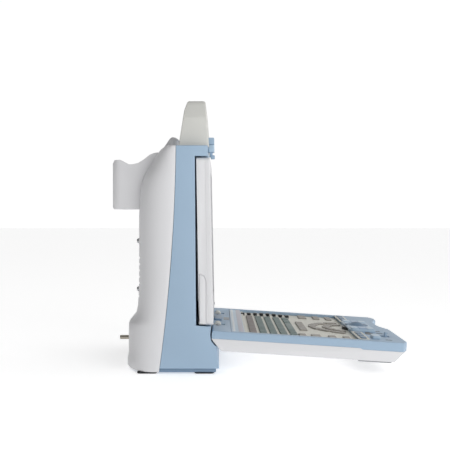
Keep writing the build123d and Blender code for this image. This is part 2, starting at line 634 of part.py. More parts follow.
# ---------------------------------------------------------------- keyboard hinges
knuckles, pins = [], []
for x_sign in (-1, 1):
    middle = x_sign * HINGE_X
    knuckle = rod_x(5.2, middle - 8.8, middle + 8.8, HINGE_BACK, HINGE_Z)
    knuckle += block((middle - 8.8, middle + 8.8), (HINGE_BACK, 12.9), (HINGE_Z - 5.2, HINGE_Z + 1.5))
    knuckle -= rod_x(PIN_R + RUN, middle - 9, middle + 9, HINGE_BACK, HINGE_Z)
    knuckles.append(knuckle - slab(front_outline, -HALF, HALF))
    pins.append(rod_x(PIN_R, middle - 21.5, middle + 21.5, HINGE_BACK, HINGE_Z))
save(group(knuckles), "keyboard_knuckles")
save(group(pins), "keyboard_hinge_pins")
cable_cover = key_block((-30, 30), (-5, 6), (RIM, RIM + 2.6))
cable_cover = fillet(cable_cover.edges().filter_by(Axis.Z), 2)
save(in_keyboard(cable_cover), "cable_cover")
label_plate = key_block((-16.5, 16.5), (9, 17.5), (RIM, RIM + 0.5))
save(in_keyboard(label_plate), "blank_label_plate")
foot_pad = key_block((-159, 159), (194, 240), (KEY_FLOOR - 2.4, KEY_FLOOR))
foot_pad = chamfer(foot_pad.edges().group_by(Axis.Z)[0], 1)
save(in_keyboard(foot_pad), "keyboard_foot_pad")

# ---------------------------------------------------------------- keys
PANEL_TOP = RIM - DECK
KEY_TOP = PANEL_TOP + KEY_RISE


def key_at(x, ahead, wide, deep, turn=0.0, top=KEY_TOP):
    """One key cap with rounded corners, and its opening in the panel."""
    cap = Box(wide, deep, KEY_TALL)
    cap = fillet(cap.edges().filter_by(Axis.Z), min(wide, deep) * 0.12)
    cap = chamfer(cap.edges().group_by(Axis.Z)[-1], 0.5)
    opening = Box(wide + 2 * KEY_GAP, deep + 2 * KEY_GAP, 12)
    place = Pos(x, -ahead, top - KEY_TALL / 2) * Rot(0, 0, turn)
    return place * cap, place * opening


def arc_keys(radius, angles, wide, deep):
    """Keys on an arc about the trackball; an angle of 0 is towards the hinge."""
    keys = []
    for angle in angles:
        turn = math.radians(angle)
        x, ahead = radius * math.sin(turn), BALL_AHEAD - radius * math.cos(turn)
        keys.append(key_at(x, ahead, wide, deep, -angle))
    return keys


ROW_LEFT, ROW_RIGHT = -148.0, 94.0
ROWS = {
    "key_row_1": (16, ROW_FIRST),
    "key_row_2": (15, ROW_FIRST + ROW_PITCH),
    "key_row_3": (15, ROW_FIRST + 2 * ROW_PITCH),
    "key_row_4": (14, ROW_FIRST + 3 * ROW_PITCH),
}
key_groups = {}
for name, (count, ahead) in ROWS.items():
    pitch = (ROW_RIGHT - ROW_LEFT) / count
    row_keys = [key_at(ROW_LEFT + pitch * (i + 0.5), ahead + 5, pitch - 3.2, ROW_DEEP) for i in range(count)]
    key_groups[name] = row_keys
space_row = []
last_ahead = ROW_FIRST + 4 * ROW_PITCH + 5
for left, right in ((-148, -128), (-124, -104), (-100, -80), (-76, 14), (18, 38), (42, 62), (66, 94)):
    space_row.append(key_at((left + right) / 2, last_ahead, right - left - 0.8, ROW_DEEP))
key_groups["key_row_5"] = space_row
key_groups["centre_keys"] = [key_at(-52 + 18 * i, 127, 14.5, 11) for i in range(6)]
side_rows = ((120, 10), (139, 13), (162, 10), (182, 9))
key_groups["side_keys"] = [key_at(x, ahead, 17, deep) for x in (-136, -115) for ahead, deep in side_rows]
key_groups["side_keys"] += [key_at(x, ahead, 17, deep) for x in (115, 136) for ahead, deep in side_rows[1:]]
key_groups["arc_keys"] = arc_keys(67.5, range(-60, 61, 20), 20, 11) + arc_keys(46, range(-50, 51, 25), 17, 11)

board_openings = [Pos(0, -BALL_AHEAD, 0) * Cylinder(22.3, 60)]
panel_sides = (-PANEL_HALF - 3, PANEL_HALF + 3)
key_panel = key_block(panel_sides, (PANEL_NEAR - 3, PANEL_FAR + 3), (PANEL_TOP - PANEL_THICK, PANEL_TOP))
openings = [opening for keys in key_groups.values() for _, opening in keys]

TGC_X = (103.0, 148.0)
TGC_COUNT = 8
TGC_PITCH = 10.4
TGC_FIRST = 41.0
for i in range(TGC_COUNT):
    ahead = TGC_FIRST + TGC_PITCH * i
    openings.append(key_block((TGC_X[0] + 2, TGC_X[1] - 2), (ahead - 1.2, ahead + 1.2), (-12, 8)))
key_panel -= openings
key_panel -= board_openings[0]
save(in_keyboard(key_panel), "key_panel")
for name, keys in key_groups.items():
    save(in_keyboard(group([cap for cap, _ in keys])), name)

TGC_START = (-9, -5, 0, 3, 6, 3, -2, -6)
for i, start in enumerate(TGC_START):
    ahead = TGC_FIRST + TGC_PITCH * i
    x = (TGC_X[0] + TGC_X[1]) / 2 + start
    knob = key_block((x - 5, x + 5), (ahead - 3, ahead + 3), (PANEL_TOP + 0.3, PANEL_TOP + 3.3))
    knob = chamfer(knob.edges().group_by(Axis.Z)[-1], 0.8)
    knob += key_block((x - 2, x + 2), (ahead - 0.8, ahead + 0.8), (PANEL_TOP - 3.2, PANEL_TOP + 1))
    save(in_keyboard(knob), f"gain_slider_{i + 1}")

key_mat = key_block((-150, 98), (30, 192), (-7.3, -6.5)) - board_openings[0]
save(in_keyboard(key_mat), "key_mat")
key_board = key_block((-152, 152), (26, 194), (-9.2, -7.6)) - board_openings[0]
save(in_keyboard(key_board), "keyboard_board")

# ---------------------------------------------------------------- trackball
ball_place = Pos(0, -BALL_AHEAD, BALL_Z)
ring = key_block((-58, 58), (PANEL_FAR - 2, 233), (RIM, RIM + RING_RISE))
ring = fillet(ring.edges().filter_by(Axis.Z), 9)
ring = chamfer(ring.edges().group_by(Axis.Z)[-1], 1.4)
ring -= Pos(0, -BALL_AHEAD, PANEL_TOP) * Cylinder(22.3, 2 * DECK)
ring -= ball_place * Sphere(BALL_R + 0.3)
save(in_keyboard(ring), "trackball_ring")
save(in_keyboard(ball_place * Sphere(BALL_R)), "trackball")
cup = Pos(0, -BALL_AHEAD, (RIM + KEY_FLOOR + KEY_WALL) / 2) * Cylinder(22, RIM - KEY_FLOOR - KEY_WALL)
cup -= ball_place * Sphere(BALL_R + 0.3)
cup -= Pos(0, -BALL_AHEAD, RIM) * Cylinder(BALL_R + 0.3, 2 * (RIM - BALL_Z))
save(in_keyboard(cup), "trackball_cup")

# ---------------------------------------------------------------- latch at the top front
hub = block((LATCH_X - 13.6, LATCH_X + 13.6), (7.9, 16.8), (305.2, 315.4))
hub = fillet(hub.edges().filter_by(Axis.Z), 2)
hub += block((LATCH_X - 13.6, LATCH_X + 13.6), (15.6, 25), (TOP, 314.2))
hub -= block((LATCH_X - 10.3, LATCH_X + 10.3), (10.2, 14.8), (300, 320))
save(hub, "latch_hub")
slider = block((LATCH_X - 10, LATCH_X + 10), (10.5, 14.5), (299, 320))
upper_wing = block((LATCH_X - 15, LATCH_X + 15), (8.2, 16.4), (315.9, 325.6))
lower_wing = block((LATCH_X - 11, LATCH_X + 11), (7.4, 13.2), (296.2, 301.0))
slider += fillet(upper_wing.edges().filter_by(Axis.X), 1.2)
slider += fillet(lower_wing.edges().filter_by(Axis.X), 1.0)
slider -= block((LATCH_X - 5, LATCH_X + 5), (8.9, 16), (290, 299.6))
slider -= block((LATCH_X - 5, LATCH_X + 5), (0, 12), (290, 297.8))
save(slider, "latch_slider")
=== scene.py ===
"""A portable ultrasound scanner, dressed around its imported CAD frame. Metres, +Z up, -Y to the user."""
import json
import math

import bmesh
import bpy
from mathutils import Matrix, Vector


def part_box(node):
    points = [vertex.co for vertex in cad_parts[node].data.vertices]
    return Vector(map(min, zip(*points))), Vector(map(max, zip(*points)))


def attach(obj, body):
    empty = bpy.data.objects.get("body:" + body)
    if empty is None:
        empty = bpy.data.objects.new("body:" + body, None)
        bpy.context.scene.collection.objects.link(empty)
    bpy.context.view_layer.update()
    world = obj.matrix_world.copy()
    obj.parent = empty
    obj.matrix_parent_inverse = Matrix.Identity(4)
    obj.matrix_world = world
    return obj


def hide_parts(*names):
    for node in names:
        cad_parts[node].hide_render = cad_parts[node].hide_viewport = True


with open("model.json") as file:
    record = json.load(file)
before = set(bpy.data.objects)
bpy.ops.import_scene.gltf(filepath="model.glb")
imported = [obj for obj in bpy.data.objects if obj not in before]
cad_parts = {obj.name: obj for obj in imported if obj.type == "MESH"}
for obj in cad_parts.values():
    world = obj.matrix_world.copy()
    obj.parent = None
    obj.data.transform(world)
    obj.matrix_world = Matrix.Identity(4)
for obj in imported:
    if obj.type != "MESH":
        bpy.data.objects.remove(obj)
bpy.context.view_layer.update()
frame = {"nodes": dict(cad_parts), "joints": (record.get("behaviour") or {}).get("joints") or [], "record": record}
NODES = frame["nodes"]
JOINTS = {joint["name"]: joint for joint in frame["joints"]}
SLOTS = {part["node"]: part["material_slot"] for part in frame["record"]["subparts"]}

MM = 0.001
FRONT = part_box("front_frame")[0].y - 1.2 * MM  # front of the foot of the case
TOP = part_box("front_frame")[1].z
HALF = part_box("front_frame")[1].x
HINGE = Vector(JOINTS["keyboard_fold"]["pos_m"])
SLOPE = math.asin(JOINTS["key_row_1_press"]["axis"][1])
RIM = 1.4 * MM  # keyboard rim above the hinge axis
PANEL_TOP = RIM - 4.0 * MM
HOUSING_TOP = RIM + 3.4 * MM  # top of the block round the trackball
BALL_AHEAD = 212 * MM  # from the hinge axis, along the keyboard
PANEL_FAR = 197 * MM


# ---------------------------------------------------------------- materials
def srgb(red, green, blue):
    """A display colour from 0 to 255 as linear light."""

    def linear(value):
        value /= 255
        return value / 12.92 if value <= 0.04045 else ((value + 0.055) / 1.055) ** 2.4

    return (linear(red), linear(green), linear(blue), 1.0)


def shade(colour, factor):
    return tuple(min(1.0, channel * factor) for channel in colour[:3]) + (1.0,)


def plastic(name, colour, roughness=0.42, grain=0.5, bump=0.12, mottle=0.03, coat=0.0, metallic=0.0):
    """Moulded plastic: a spark-eroded grain in mm, faint mottling and a little gloss variation."""
    material = bpy.data.materials.new(name)
    material.use_nodes = True
    tree = material.node_tree
    shader = tree.nodes["Principled BSDF"]
    shader.inputs["Metallic"].default_value = metallic
    shader.inputs["Coat Weight"].default_value = coat
    shader.inputs["Coat Roughness"].default_value = 0.08
    place = tree.nodes.new("ShaderNodeTexCoord")
    cloud = tree.nodes.new("ShaderNodeTexNoise")
    cloud.inputs["Scale"].default_value = 14.0
    cloud.inputs["Detail"].default_value = 3.0
    tree.links.new(place.outputs["Object"], cloud.inputs["Vector"])
    tint = tree.nodes.new("ShaderNodeValToRGB")
    tint.color_ramp.elements[0].position = 0.3
    tint.color_ramp.elements[0].color = shade(colour, 1 - mottle)
    tint.color_ramp.elements[1].position = 0.7
    tint.color_ramp.elements[1].color = shade(colour, 1 + mottle)
    tree.links.new(cloud.outputs["Fac"], tint.inputs["Fac"])
    tree.links.new(tint.outputs["Color"], shader.inputs["Base Color"])
    fine = tree.nodes.new("ShaderNodeTexNoise")
    fine.inputs["Scale"].default_value = 1.0 / (grain * MM)
    fine.inputs["Detail"].default_value = 2.0
    tree.links.new(place.outputs["Object"], fine.inputs["Vector"])
    gloss = tree.nodes.new("ShaderNodeMapRange")
    gloss.inputs["To Min"].default_value = roughness - 0.06
    gloss.inputs["To Max"].default_value = roughness + 0.06
    tree.links.new(fine.outputs["Fac"], gloss.inputs["Value"])
    tree.links.new(gloss.outputs["Result"], shader.inputs["Roughness"])
    relief = tree.nodes.new("ShaderNodeBump")
    relief.inputs["Strength"].default_value = bump
    relief.inputs["Distance"].default_value = 0.05 * MM
    tree.links.new(fine.outputs["Fac"], relief.inputs["Height"])
    tree.links.new(relief.outputs["Normal"], shader.inputs["Normal"])
    return material


def brushed(name, colour, roughness):
    """Metal with fine lengthwise drawing marks."""
    material = plastic(name, colour, roughness, grain=0.3, bump=0.1, mottle=0.05, metallic=1.0)
    tree = material.node_tree
    stretch = tree.nodes.new("ShaderNodeMapping")
    stretch.inputs["Scale"].default_value = (1.0, 0.06, 1.0)
    fine = [node for node in tree.nodes if node.type == "TEX_NOISE"][-1]
    place = [node for node in tree.nodes if node.type == "TEX_COORD"][0]
    tree.links.new(place.outputs["Object"], stretch.inputs["Vector"])
    tree.links.new(stretch.outputs["Vector"], fine.inputs["Vector"])
    return material


def board(name):
    """Green solder mask with a net of brighter tracks."""
    material = plastic(name, srgb(24, 88, 52), 0.35, mottle=0.1)
    tree = material.node_tree
    shader = tree.nodes["Principled BSDF"]
    place = [node for node in tree.nodes if node.type == "TEX_COORD"][0]
    tracks = tree.nodes.new("ShaderNodeTexBrick")
    tracks.inputs["Scale"].default_value = 160.0
    tracks.inputs["Mortar Size"].default_value = 0.03
    tracks.inputs["Color1"].default_value = srgb(22, 82, 48)
    tracks.inputs["Color2"].default_value = srgb(26, 92, 56)
    tracks.inputs["Mortar"].default_value = srgb(70, 140, 84)
    tree.links.new(place.outputs["Object"], tracks.inputs["Vector"])
    tree.links.new(tracks.outputs["Color"], shader.inputs["Base Color"])
    return material


MATERIALS = {
    "white_shell": plastic("white_shell", srgb(221, 221, 223), 0.5, bump=0.16, mottle=0.012),
    "blue_shell": plastic("blue_shell", srgb(157, 181, 203), 0.5, bump=0.16, mottle=0.02),
    "light_blue_plastic": plastic("light_blue_plastic", srgb(176, 198, 216), 0.4, mottle=0.02),
    "slate_plastic": plastic("slate_plastic", srgb(112, 136, 160), 0.45),
    "grey_white_plastic": plastic("grey_white_plastic", srgb(212, 212, 207), 0.5, bump=0.16, mottle=0.015),
    "grey_plastic": plastic("grey_plastic", srgb(150, 152, 155), 0.5),
    "black_plastic": plastic("black_plastic", srgb(34, 35, 38), 0.4),
    "panel_plastic": plastic("panel_plastic", srgb(216, 214, 203), 0.5, bump=0.08, mottle=0.02),
    "dark_keys": plastic("dark_keys", srgb(96, 116, 113), 0.5, mottle=0.05),
    "brown_grey_keys": plastic("brown_grey_keys", srgb(124, 116, 112), 0.5, mottle=0.05),
    "grey_keys": plastic("grey_keys", srgb(158, 153, 146), 0.5, mottle=0.04),
    "rubber": plastic("rubber", srgb(46, 47, 50), 0.8, grain=0.8, bump=0.3, mottle=0.08),
    "nickel": brushed("nickel", srgb(158, 152, 142), 0.18),
    "steel": brushed("steel", srgb(176, 178, 180), 0.3),
    "circuit_board": board("circuit_board"),
    "screen_glass": plastic("screen_glass", srgb(22, 24, 29), 0.12, 2.0, 0.0, mottle=0.02, coat=1.0),
}
DETAIL = {  # colours of small details that no CAD node has
    # painted shade: a flat dark colour for the shade inside slot openings, laid on the deck
    "slot_shade": plastic("groove_shadow", srgb(40, 46, 54), 0.7),
    "pale_line": plastic("pale_line", srgb(222, 228, 232), 0.5),
    "lilac": plastic("lilac_strip", srgb(186, 184, 194), 0.45),
    "pale_blue": plastic("pale_blue_keys", srgb(150, 176, 204), 0.4),
}

for node, obj in NODES.items():
    obj.data.materials.clear()
    obj.data.materials.append(MATERIALS[SLOTS[node]])
NODES["keyboard_foot_pad"].data.materials[0] = MATERIALS["grey_plastic"]  # a paler rubber than the feet


# ---------------------------------------------------------------- mesh helpers
def new_piece(name, bm, material, body, smooth=40):
    """Turns a bmesh into an object that rides on a body, smooth below an angle in degrees."""
    mesh = bpy.data.meshes.new(name)
    bmesh.ops.recalc_face_normals(bm, faces=bm.faces)
    bm.to_mesh(mesh)
    bm.free()
    piece = bpy.data.objects.new(name, mesh)
    bpy.context.scene.collection.objects.link(piece)
    mesh.materials.append(material)
    smooth_by_angle(mesh, smooth)
    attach(piece, body)
    return piece


def smooth_by_angle(mesh, degrees):
    for polygon in mesh.polygons:
        polygon.use_smooth = True
    mesh.set_sharp_from_angle(angle=math.radians(degrees))


def settle(piece, smooth=40):
    """Applies a piece's modifiers to its mesh."""
    depsgraph = bpy.context.evaluated_depsgraph_get()
    mesh = bpy.data.meshes.new_from_object(piece.evaluated_get(depsgraph))
    piece.modifiers.clear()
    piece.data = mesh
    smooth_by_angle(mesh, smooth)
    return piece


def bevel(piece, width, segments=3, angle=30):
    """Rounds the edges that are sharper than an angle in degrees."""
    step = piece.modifiers.new("bevel", "BEVEL")
    step.width = width
    step.segments = segments
    step.limit_method = "ANGLE"
    step.angle_limit = math.radians(angle)
    step.use_clamp_overlap = False
    step.harden_normals = False
    step.miter_outer = "MITER_ARC"


def clean_copy(node):
    """A CAD node's mesh with its doubled points and the edges within its flat faces removed."""
    bm = bmesh.new()
    bm.from_mesh(NODES[node].data)
    bmesh.ops.remove_doubles(bm, verts=bm.verts, dist=0.004 * MM)
    bmesh.ops.dissolve_limit(bm, angle_limit=math.radians(0.6), verts=bm.verts, edges=bm.edges)
    return bm


def softened(node, width, segments=3, angle=30):
    """A CAD node's own shape with its edges rounded, kept inside its box and standing for that node."""
    slot = SLOTS[node]
    piece = new_piece(node + "_skin", clean_copy(node), MATERIALS[slot], frame_body(node))
    bevel(piece, width, segments, angle)
    settle(piece)
    low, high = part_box(node)
    for vert in piece.data.vertices:
        for axis in range(3):
            vert.co[axis] = min(high[axis], max(low[axis], vert.co[axis]))
    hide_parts(node)
    return piece


def frame_body(node):
    """The body that a node rides on."""
    for body, members in frame["record"]["behaviour"]["bodies"].items():
        if node in members:
            return body
    raise KeyError(node)


def in_keyboard(x, ahead, z):
    """A point of the keyboard's own frame: ahead of the hinge axis and above it."""
    return HINGE + Vector((x, 0, 0)) + Matrix.Rotation(SLOPE, 3, "X") @ Vector((0, -ahead, z))


def keyboard_slab(name, outline, z_low, z_high, material, edge):
    """A flat piece on the keyboard from an outline of (x, ahead) points, its edges rounded by a width."""
    bm = bmesh.new()
    low = [bm.verts.new(in_keyboard(x, ahead, z_low)) for x, ahead in outline]
    high = [bm.verts.new(in_keyboard(x, ahead, z_high)) for x, ahead in outline]
    bm.faces.new(low)
    bm.faces.new(high)
    count = len(outline)
    for i in range(count):
        bm.faces.new((low[i], low[(i + 1) % count], high[(i + 1) % count], high[i]))
    piece = new_piece(name, bm, material, "keyboard")
    if edge:
        bevel(piece, edge, 2)
        settle(piece)


def rounded_rectangle(x_low, x_high, y_low, y_high, radius, steps=5):
    """Points round a rectangle whose corners are arcs."""
    points = []
    corners = ((x_high - radius, y_high - radius, 0), (x_low + radius, y_high - radius, 90),
               (x_low + radius, y_low + radius, 180), (x_high - radius, y_low + radius, 270))
    for x, y, start in corners:
        for i in range(steps + 1):
            angle = math.radians(start + 90 * i / steps)
            points.append((x + radius * math.cos(angle), y + radius * math.sin(angle)))
    return points


# ---------------------------------------------------------------- the rear cover
LONG_SPAN = 30  # mm of height; shorter spans of the profile run in a soft curve, longer ones straight
SEAM_TOP = 60  # mm back from FRONT
SEAM_LEAN = 23  # mm further back at the foot
SEAM_BOW = 19.6
SEAM_FOOT = 1.8  # mm above the floor
SEAM_GAP = 0.3
OPEN_FRONT = 12  # mm by which the space inside reaches past the seam, so that the cover is open there
WALL = 2.6
REAR_PROFILE = [  # (mm back from FRONT, height), highest first
    (77, 311.4), (80.5, 310.6), (84, 308), (89, 302.4), (98, 287.5), (107.6, 271), (111.4, 261),
    (113.6, 240), (115.2, 215), (115.0, 160), (115.2, 112), (116.4, 90), (118.8, 78.5), (122.6, 72.2),
    (127.6, 68), (129.4, 64), (129.7, 56), (129.6, 24), (131.2, 15), (131.2, 6.5), (129.4, 3.8), (126, 2.6),
]


def interpolate(points, height):
    """The value at a height on a line of (value, height) points, highest first."""
    for (value, high), (lower_value, low) in zip(points, points[1:]):
        if low <= height <= high:
            share = (high - height) / (high - low)
            share = share if high - low > LONG_SPAN else share * share * (3 - 2 * share)
            return value + share * (lower_value - value)
    return points[0][0] if height > points[0][1] else points[-1][0]


def seam_back(height):
    """The seam bows like an arc through its top, middle and bottom."""
    share = (TOP / MM - height) / (TOP / MM - SEAM_FOOT)
    return SEAM_TOP + SEAM_LEAN * share - SEAM_BOW * share * (1 - share)


def cover_section(height, inset=0.0, corner=72.0, power=2.5, steps=16):
    """Half a horizontal section of the cover: along the side wall and round to the middle of the rear."""
    front = seam_back(height) + SEAM_GAP
    rear = interpolate(REAR_PROFILE, height) - inset
    half = HALF / MM - inset
    points = []
    if inset:
        points.append((half, front - OPEN_FRONT))
        front += SEAM_GAP
    for i in range(steps + 1):
        angle = math.pi / 2 * i / steps
        x = half - corner * (1 - math.cos(angle) ** (2 / power))
        points.append((x, front + (rear - front) * math.sin(angle) ** (2 / power)))
    return points


def cover_solid(name, heights, inset=0.0):
    """The cover's outer form as a solid, or the slightly smaller form of the space inside it."""
    bm = bmesh.new()
    rows = []
    for height in heights:
        right = cover_section(height, inset)
        outline = right + [(-x, back) for x, back in reversed(right)]
        rows.append([bm.verts.new((x * MM, FRONT + back * MM, height * MM)) for x, back in outline])
    for upper, lower in zip(rows, rows[1:]):
        for i in range(-1, len(upper) - 1):
            bm.faces.new((upper[i], upper[i + 1], lower[i + 1], lower[i]))
    bm.faces.new(rows[0])
    bm.faces.new(rows[-1])
    return new_piece(name, bm, MATERIALS["white_shell"], "case")


def rear_cover():
    """The cover as a hollow shell with its hump and windows."""
    heights = sorted({height for _, height in REAR_PROFILE} | set(range(20, 260, 16)), reverse=True)
    cover = cover_solid("rear_cover_skin", heights)
    union(cover, rear_hump())
    inner_heights = [309, 300, 286, 270, 240, 200, 160, 112, 90, 76, 64, 50, 13, -5]
    carve(cover, cover_solid("space", inner_heights, WALL))
    cut_windows(cover)
    bevel(cover, 0.5 * MM, 2, 50)
    settle(cover, 32)
    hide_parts("rear_cover")


def rear_hump():
    """The raised middle of the cover behind the handle."""
    outline = [
        (62.4, 296), (62.4, 328.5), (64, 330.6), (71, 330.8),
        (74, 328.6), (81, 318.2), (87.6, 309.4), (89.8, 296),
    ]
    half = 57 * MM
    bm = bmesh.new()
    near = [bm.verts.new((-half, FRONT + back * MM, height * MM)) for back, height in outline]
    far = [bm.verts.new((half, FRONT + back * MM, height * MM)) for back, height in outline]
    bm.faces.new(near)
    bm.faces.new(far)
    for i in range(len(outline)):
        j = (i + 1) % len(outline)
        bm.faces.new((near[i], near[j], far[j], far[i]))
    hump = new_piece("hump", bm, MATERIALS["white_shell"], "case")
    bevel(hump, 5 * MM, 5, 50)
    return settle(hump)


def combine(piece, tool, operation):
    """Joins a tool to a piece or cuts it away, and removes the tool."""
    step = piece.modifiers.new(operation, "BOOLEAN")
    step.operation = operation
    step.solver = "EXACT"
    step.object = tool
    settle(piece)
    bpy.data.objects.remove(tool)


def union(piece, tool):
    combine(piece, tool, "UNION")


def carve(piece, tool):
    combine(piece, tool, "DIFFERENCE")


def block(x, y, z):
    """A box for cutting, from three (low, high) pairs in metres."""
    bm = bmesh.new()
    bmesh.ops.create_cube(bm, size=1)
    for vert in bm.verts:
        for axis, (low, high) in enumerate((x, y, z)):
            vert.co[axis] = low + (vert.co[axis] + 0.5) * (high - low)
    return new_piece("tool", bm, MATERIALS["white_shell"], "case")


def tube_y(x, z, radius, y_low, y_high, sides=64):
    """A cylinder for cutting, along Y."""
    bm = bmesh.new()
    depth = y_high - y_low
    bmesh.ops.create_cone(bm, cap_ends=True, segments=sides, radius1=radius, radius2=radius, depth=depth)
    turn = Matrix.Translation((x, (y_low + y_high) / 2, z)) @ Matrix.Rotation(math.pi / 2, 4, "X")
    bmesh.ops.transform(bm, matrix=turn, verts=bm.verts)
    return new_piece("tool", bm, MATERIALS["white_shell"], "case")


def cut_windows(cover):
    """Cuts the cover's windows: connector panel, fan, probe sockets and air slots."""
    panel_low, panel_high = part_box("connector_panel")
    margin = Vector((0.3, 3, 0.3)) * MM
    low, high = panel_low - margin, panel_high + margin + Vector((0, 6 * MM, 0))
    carve(cover, block((low.x, high.x), (low.y - 10 * MM, high.y), (low.z, high.z)))
    fan_low, fan_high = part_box("fan_guard")
    middle = (fan_low + fan_high) / 2
    fan_opening = 38 * MM
    carve(cover, tube_y(middle.x, middle.z, fan_opening, middle.y - 20 * MM, middle.y + 10 * MM))
    low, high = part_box("probe_sockets")
    socket_height = 55.6 * MM
    for z in (low.z, high.z - socket_height):
        carve(cover, block((low.x, high.x), (low.y - 5 * MM, high.y + 5 * MM), (z, z + socket_height)))
    slot_x = (-126 * MM, -66 * MM)
    slot_y = (FRONT + 100 * MM, FRONT + 125 * MM)
    slot_first, slot_pitch, slot_height = 100, 9, 3.2 * MM
    for i in range(7):
        z = (slot_first + slot_pitch * i) * MM
        carve(cover, block(slot_x, slot_y, (z, z + slot_height)))


rear_cover()
softened("front_frame", 0.7 * MM)
softened("carry_handle", 1.6 * MM, 4, 25)
EDGE_RADII = {  # mm
    "base_pan": 0.4,
    "display_bezel": 0.4,
    "display_back": 0.4,
    "display_hinge_caps": 0.3,
    "keyboard_top_shell": 0.6,
    "keyboard_bottom_shell": 0.7,
    "latch_slider": 0.35,
    "latch_hub": 0.35,
    "keyboard_knuckles": 0.5,
    "trackball_ring": 0.5,
    "cable_cover": 0.5,
}
for node, radius in EDGE_RADII.items():
    softened(node, radius * MM)
for node in [name for name in NODES if name.startswith("key_row") or name.endswith("_keys")]:
    softened(node, 0.22 * MM, 2, 35)
for node in [name for name in NODES if name.startswith("gain_slider")]:
    softened(node, 0.2 * MM, 2, 35)


# ---------------------------------------------------------------- probe holder
def probe_holder():
    """The holder's ends turn in towards its back like half an oval, and its rims are soft."""
    bm = clean_copy("probe_holder")
    low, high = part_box("probe_holder")
    depth, turn_in, straight, steps = 40 * MM, 15 * MM, 86 * MM, 14
    for i in range(1, steps):
        place = Vector((0, high.y - depth * (1 - math.cos(math.pi / 2 * i / steps)), 0))
        geometry = list(bm.verts) + list(bm.edges) + list(bm.faces)
        bmesh.ops.bisect_plane(bm, geom=geometry, plane_co=place, plane_no=(0, 1, 0))
    for vert in bm.verts:
        beyond = min(1.0, max(0.0, (vert.co.y - (high.y - depth)) / depth))
        share = max(0.0, (abs(vert.co.x) - straight) / (high.x - straight))
        vert.co.x -= math.copysign(turn_in * (1 - math.sqrt(1 - beyond * beyond)) * share, vert.co.x)
    holder = new_piece("probe_holder_skin", bm, MATERIALS["white_shell"], "case")
    bevel(holder, 0.9 * MM, 3, 35)
    settle(holder, 42)
    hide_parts("probe_holder")


probe_holder()


def cap_nuts():
    """Domed caps over the four screws of the fan guard."""
    low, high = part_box("fan_guard")
    inset, sides = 4.2 * MM, 24
    profile = [(5.2, 0.0), (5.2, 0.8), (3.9, 1.1), (3.9, 5.0), (3.4, 6.4), (2.2, 7.3), (0.01, 7.6)]
    for i, (x, z) in enumerate(((low.x, low.z), (low.x, high.z), (high.x, low.z), (high.x, high.z))):
        x += inset if x < 0 else -inset
        z += inset if i % 2 == 0 else -inset
        bm = bmesh.new()
        rings = []
        for radius, rise in profile:
            ring = []
            for step in range(sides):
                turn = 2 * math.pi * step / sides
                across, up = radius * MM * math.cos(turn), radius * MM * math.sin(turn)
                ring.append(bm.verts.new((x + across, high.y + rise * MM, z + up)))
            rings.append(ring)
        for inner, outer in zip(rings, rings[1:]):
            for step in range(sides):
                bm.faces.new((inner[step], inner[step - 1], outer[step - 1], outer[step]))
        bm.faces.new(rings[0])
        bm.faces.new(rings[-1])
        new_piece(f"fan_cap_{i + 1}", bm, MATERIALS["steel"], "case", 35)


cap_nuts()


# ---------------------------------------------------------------- keyboard details
def deck_patch(name, x, ahead, material, low=PANEL_TOP, rise=0.3 * MM, radius=0.6 * MM, edge=0.15 * MM):
    """A rounded rectangle on the keyboard between two pairs of mm, rising from a level in metres."""
    outline = rounded_rectangle(x[0] * MM, x[1] * MM, ahead[0] * MM, ahead[1] * MM, radius)
    keyboard_slab(name, outline, low, low + rise, material, edge)


def strips():
    """The light strip at the back of the keyboard with its two lines, and the key panel's border."""
    light, ivory = MATERIALS["light_blue_plastic"], MATERIALS["panel_plastic"]
    strip_rise = 3.6 * MM
    top = PANEL_TOP + strip_rise
    deck_patch("function_strip", (-151.6, 151.6), (19.4, 37.2), light, rise=strip_rise)
    deck_patch("strip_line", (-151.4, 151.4), (21.4, 24.6), DETAIL["pale_line"], top, 0.25 * MM, 0.3 * MM)
    deck_patch("lilac_strip", (-149, 149), (29.4, 36.4), DETAIL["lilac"], top, 0.3 * MM)
    deck_patch("panel_border", (-151, 151), (37.6, 41.8), ivory, rise=1.6 * MM, edge=0.4 * MM)


def gain_slot_shades():
    """Painted shade of each gain slider's slot: two flat dark strips, one on either side of its stem."""
    for i in range(1, 9):
        low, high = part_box(f"gain_slider_{i}")
        ahead = (HINGE.y - (low.y + high.y) / 2) / math.cos(SLOPE) / MM
        for edge, reach in {"near": (ahead - 2.8, ahead - 1.35), "far": (ahead + 1.35, ahead + 2.8)}.items():
            name = f"gain_slot_shade_{i}_{edge}"
            deck_patch(name, (101.5, 149.5), reach, DETAIL["slot_shade"], rise=0.2 * MM, edge=0)


def panel_wings():
    """The key panel's light wings beside the trackball housing, each with three slate keys."""
    far = PANEL_FAR / MM
    ivory, slate = MATERIALS["panel_plastic"], MATERIALS["slate_plastic"]
    for side, name in {-1: "left", 1: "right"}.items():
        ends, reach = sorted((side * 62, side * 150)), (far - 2, far + 13.5)
        deck_patch("panel_wing_" + name, ends, reach, ivory, RIM - 0.1 * MM, 0.5 * MM, 3 * MM)
        for i, x in enumerate((136, 111, 86)):
            ends = sorted((side * (x - 9.5), side * (x + 9.5)))
            key = f"wing_key_{name}_{i + 1}"
            deck_patch(key, ends, (far + 1.5, far + 9.5), slate, RIM, 1.9 * MM, 1.4 * MM, 0.4 * MM)


